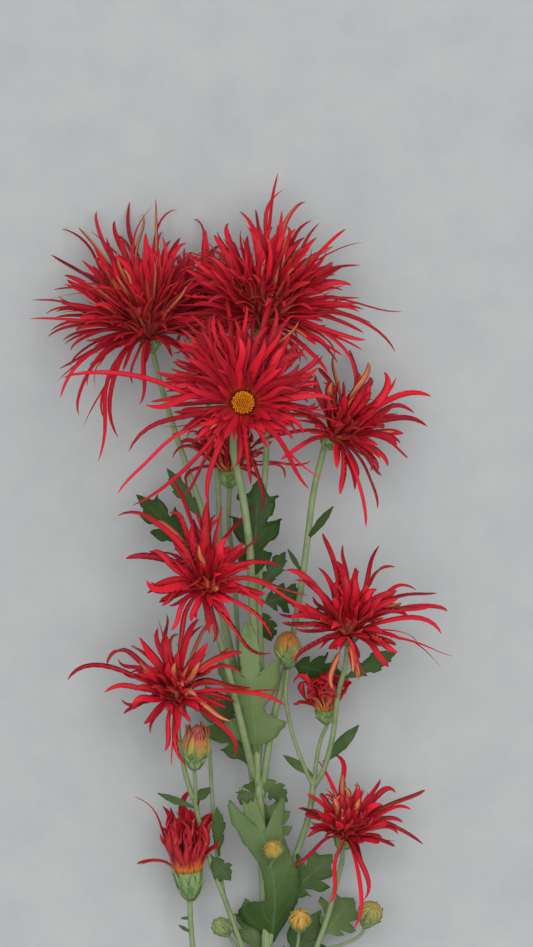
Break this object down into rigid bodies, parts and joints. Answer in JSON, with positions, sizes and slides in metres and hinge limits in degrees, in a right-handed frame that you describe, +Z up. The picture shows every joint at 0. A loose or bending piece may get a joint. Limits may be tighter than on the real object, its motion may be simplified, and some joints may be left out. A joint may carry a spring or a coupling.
{
  "type": "cut spray of saga chrysanthemum",
  "caption": "Cut chrysanthemum spray with loose crimson spider blooms, yellow hearts, buds and lobed leaves, laid down.",
  "frame": {"origin": "under the middle of the spray's bounding box, on the surface that it lies on", "axes": "+Y from the cut end of the stem to the crown of blooms, +Z up, +X to the right as seen from above"},
  "size_m": [0.1774, 0.453, 0.1238],
  "materials": {
    "leaf_green": "matte living leaf and stem, faintly downy",
    "petal_crimson": "soft satin living petal, orange-yellow on its reverse",
    "floret_yellow": "matte, grainy florets",
    "bud_yellow_green": "soft satin folded petals over a green cup"
  },
  "bodies": {
    "root": {"bud_centre": "bud_yellow_green", "bud_left": "bud_yellow_green", "bud_low": "bud_yellow_green", "bud_middle": "bud_yellow_green", "bud_opening": "bud_yellow_green", "bud_right": "bud_yellow_green", "disc_crown_back": "floret_yellow", "disc_crown_left": "floret_yellow", "disc_crown_right": "floret_yellow", "disc_front": "floret_yellow", "disc_lower_left": "floret_yellow", "disc_lower_right": "floret_yellow", "disc_middle_left": "floret_yellow", "disc_middle_right": "floret_yellow", "disc_right": "floret_yellow", "leafy_stem": "leaf_green", "petals_back_right": "petal_crimson", "petals_crown_back": "petal_crimson", "petals_crown_left": "petal_crimson", "petals_crown_right": "petal_crimson", "petals_front": "petal_crimson", "petals_hidden": "petal_crimson", "petals_lower_left": "petal_crimson", "petals_lower_right": "petal_crimson", "petals_lower_young": "petal_crimson", "petals_middle_left": "petal_crimson", "petals_middle_right": "petal_crimson", "petals_right": "petal_crimson"}
  },
  "joints": []
}
